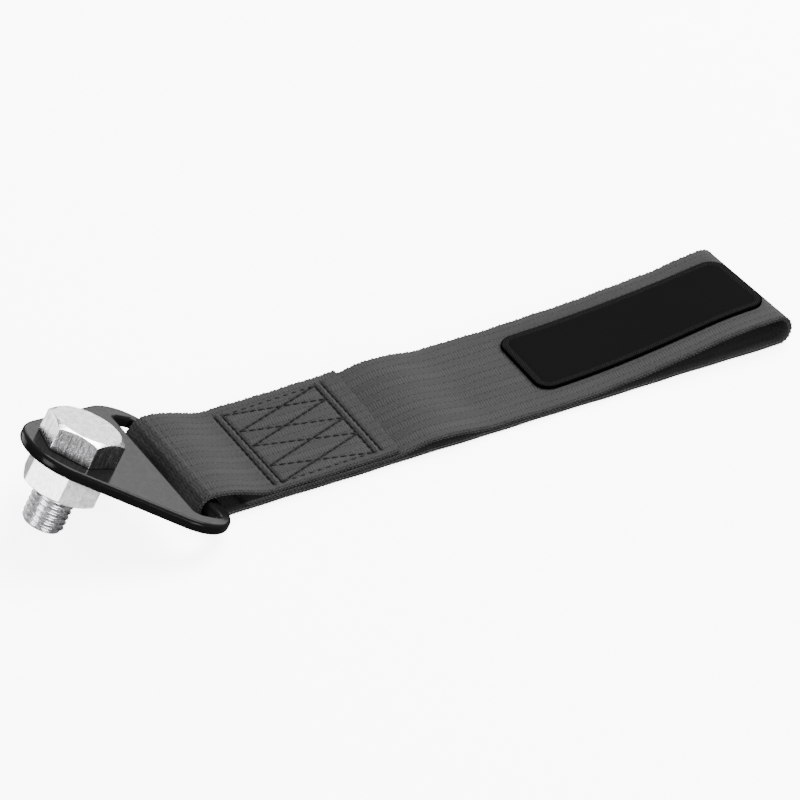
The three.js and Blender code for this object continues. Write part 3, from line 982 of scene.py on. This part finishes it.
def yarn_material(name, levels, scale):
    """Twisted yarn: fine fibres over a soft change of shade, with a painted highlight on the crest of
    each turn.
    """
    n = Nodes(name)
    place = n.node("TexCoord").outputs["Object"]
    fibre = n.noise(place, scale=scale, detail=4.0, roughness=0.7)
    shade = n.noise(place, scale=scale * 0.12, detail=2.0, roughness=0.5)
    both = n.total((fibre, 0.6), (shade, 0.5))
    # Painted highlight: the yarn's colour is lighter towards the crest of each turn.
    crest = n.scale_range(n.math("ABSOLUTE", n.split(n.attribute("turn"))[1]), 0.25, 0.9)
    lit = n.times(n.scale_range(both, 0.35, 0.8, 0.3, 1.0), crest)
    return n.finish(
        Base_Color=n.mix(lit, *greys(levels)),
        Roughness=n.scale_range(fibre, 0.3, 0.7, YARN_ROUGH - 0.1, YARN_ROUGH + 0.1),
        Normal=n.bump(fibre, distance=0.1 * MM, strength=0.6),
        Specular_IOR_Level=0.1,
        Sheen_Weight=0.02,
        Sheen_Roughness=0.5,
    )


def label_material():
    """A smooth near-black face inside a bound border of fine slanted threads, with painted shade on its
    rim.
    """
    n = Nodes("label_face")
    facts = n.split(n.attribute("patch"))
    along, across = n.times(facts[0], UNIT), n.times(facts[1], UNIT)
    inside = n.times(facts[2], INSIDE_UNIT)
    border = n.scale_range(inside, BORDER_WIDTH, GUTTER_AT, 1.0, 0.0)
    fluff = n.noise(n.vector(along, across), scale=1.5, detail=3.0, roughness=0.7)
    rope = n.wave(n.math("ADD", along, across), ROPE_PITCH)
    thread = n.total((fluff, 0.8), (rope, 0.35))
    grain = n.noise(n.vector(along, across), scale=4.0, detail=2.0, roughness=0.5)
    face = n.mix(grain, *greys(FACE_GREYS))
    bound = n.mix(n.scale_range(thread, 0.3, 0.95), *greys(BORDER_GREYS))
    # Painted shade: the rounded rim at the label's edge is darker.
    bound = n.mix(n.scale_range(inside, 0.1, 0.7), *greys([RIM_SHADE_GREY]), bound)
    height = n.total((n.times(thread, border), 1.0), (grain, 0.04))
    return n.finish(
        Base_Color=n.mix(border, face, bound),
        Roughness=n.scale_range(border, 0.0, 1.0, 0.82, 0.9),
        Normal=n.bump(height, distance=0.18 * MM, strength=0.7),
        Specular_IOR_Level=0.0,
    )


def paint_material():
    """Gloss black powder coat with a faint orange peel and a little dust."""
    n = Nodes("gloss_black_coat")
    own = n.attribute("own")
    peel = n.noise(own, scale=70.0, detail=3.0, roughness=0.5)
    dust = n.scale_range(n.noise(own, scale=500.0, detail=2.0, roughness=0.6), 0.45, 0.8)
    return n.finish(
        Base_Color=n.mix(dust, *greys(PAINT_GREYS)),
        Roughness=n.scale_range(peel, 0.3, 0.7, 0.14, 0.20),
        Normal=n.bump(peel, distance=0.04 * MM, strength=0.35),
        IOR=1.5,
        Specular_IOR_Level=0.05,
    )


def zinc_material(name, tint, metal, low, high, streaks):
    """Bright zinc: forged grain on the end faces, draw marks on the flats between two heights."""
    n = Nodes(name)
    own = n.attribute("own")
    x, y, z = n.split(own)
    level = n.times(z, UNIT)
    foot = n.scale_range(level, low - FLATS_FOOT, low + FLATS_FOOT)
    top = n.scale_range(level, high - FLATS_FADE, high - FLATS_TOP, 1.0, 0.0)
    flats = n.times(foot, top)
    grain = n.noise(own, scale=70.0, detail=5.0, roughness=0.7)
    fine = n.noise(own, scale=300.0, detail=3.0, roughness=0.6)
    marks = n.noise(n.vector(x, y, n.times(z, 0.08)), scale=150.0, detail=5.0, roughness=0.75)
    scratch = n.noise(n.vector(n.times(x, 0.06), y, z), scale=420.0, detail=3.0, roughness=0.6)
    on_flats = n.times(n.times(marks, flats), streaks)
    height = n.total((grain, 0.8), (fine, 0.35), (on_flats, 0.6), (scratch, 0.15))
    pits = n.scale_range(n.total((grain, 1.0), (fine, 0.4)), 0.56, 0.76)
    base = n.mix(pits, *greys([tint * PIT_SHADE, tint]))
    worn = n.mix(n.scale_range(marks, 0.38, 0.62), *greys([tint * STREAK_SHADE, tint]))
    return n.finish(
        Base_Color=n.mix(n.times(flats, streaks), base, worn),
        Metallic=metal,
        Roughness=n.scale_range(grain, 0.3, 0.7, 0.16, 0.30),
        Normal=n.bump(height, distance=0.12 * MM, strength=0.7),
    )


def floor_material():
    n = Nodes("pale_floor")
    tone = n.noise(n.node("TexCoord").outputs["Object"], scale=3.0, detail=2.0, roughness=0.5)
    return n.finish(
        Base_Color=n.mix(tone, *((level, level, level, 1) for level in FLOOR_GREYS)),
        Roughness=0.9,
        Specular_IOR_Level=0.1,
        Emission_Color=(1, 1, 1, 1),
        Emission_Strength=FLOOR_GLOW,
    )


# Camera, floor and lights

def look(obj, at):
    obj.rotation_mode = "QUATERNION"
    obj.rotation_quaternion = (at - obj.location).to_track_quat("-Z", "Y")


def make_camera():
    back = Vector((
        math.sin(AZIMUTH) * math.cos(ELEVATION),
        -math.cos(AZIMUTH) * math.cos(ELEVATION),
        math.sin(ELEVATION),
    ))
    data = bpy.data.cameras.new("camera")
    data.sensor_width = SENSOR
    data.lens = PIXELS_PER_MM * DISTANCE / MM * SENSOR / IMAGE_SIZE
    data.clip_start, data.clip_end = CLIP_START, CLIP_END
    camera = bpy.data.objects.new("camera", data)
    camera.location = TARGET + back * DISTANCE
    look(camera, TARGET)
    bpy.context.scene.collection.objects.link(camera)
    bpy.context.scene.camera = camera


def make_light(name, place, at, size, power):
    data = bpy.data.lights.new(name, "AREA")
    data.shape = "RECTANGLE"
    data.size, data.size_y = size
    data.energy = power
    light = bpy.data.objects.new(name, data)
    light.location = place
    light.visible_camera = False
    look(light, Vector(at))
    bpy.context.scene.collection.objects.link(light)


def make_world():
    """A white world that is dimmer below its horizon."""
    world = bpy.data.worlds.new("studio")
    world.use_nodes = True
    tree = world.node_tree
    background = tree.nodes["Background"]
    heading = tree.nodes.new("ShaderNodeTexCoord").outputs["Generated"]
    split = tree.nodes.new("ShaderNodeSeparateXYZ")
    rise = tree.nodes.new("ShaderNodeMapRange")
    rise.inputs["From Min"].default_value = -HORIZON_HALF
    rise.inputs["From Max"].default_value = HORIZON_HALF
    rise.inputs["To Min"].default_value = WORLD_LOW
    rise.inputs["To Max"].default_value = WORLD_HIGH
    tree.links.new(heading, split.inputs[0])
    tree.links.new(split.outputs[2], rise.inputs["Value"])
    tree.links.new(rise.outputs["Result"], background.inputs["Strength"])
    background.inputs["Color"].default_value = (1.0, 1.0, 1.0, 1.0)
    bpy.context.scene.world = world


def make_floor():
    mesh = bpy.data.meshes.new("floor")
    corners = [(-1, -1), (1, -1), (1, 1), (-1, 1)]
    mesh.from_pydata([(x * FLOOR_HALF, y * FLOOR_HALF, 0) for x, y in corners], [], [(0, 1, 2, 3)])
    floor = bpy.data.objects.new("floor", mesh)
    floor.location.z = -FLOOR_DROP
    bpy.context.scene.collection.objects.link(floor)
    mesh.materials.append(floor_material())
    floor.visible_glossy = False
    floor.visible_diffuse = False


def dress(obj, material, body, slot, *replaced):
    obj.data.materials.clear()
    obj.data.materials.append(material)
    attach(obj, body)
    if replaced:
        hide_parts(*replaced)


make_camera()
make_world()
make_floor()
for light in LIGHTS:
    make_light(*light)

selvedge_yarn = yarn_material("selvedge_yarn", SELVEDGE_GREYS, 2500.0)
sewing_thread = yarn_material("thread", THREAD_GREYS, 3500.0)
head_top = SEAT_GAP + HEAD_HEIGHT
bolt_zinc = zinc_material("bolt_zinc", tint=0.88, metal=1.0, low=SEAT_GAP, high=head_top, streaks=1.0)
nut_foot = -PLATE_THICK - NUT_HEIGHT
nut_zinc = zinc_material("nut_zinc", tint=0.95, metal=0.30, low=nut_foot, high=-PLATE_THICK, streaks=0.12)

dress(make_webbing(), weave_material(), "strap", "webbing", "webbing_strap")
dress(make_selvedge("selvedge_near", -1), selvedge_yarn, "strap", "webbing")
dress(make_selvedge("selvedge_far", 1), selvedge_yarn, "strap", "webbing")
dress(make_stitching(), sewing_thread, "strap", "webbing")
dress(make_label(), label_material(), "strap", "patch", "label_patch")
dress(make_plate(), paint_material(), "plate", "plate_paint", "tow_plate")
dress(make_bolt(), bolt_zinc, "bolt", "zinc", "hex_bolt")
dress(make_nut(), nut_zinc, "nut", "zinc", "hex_nut")
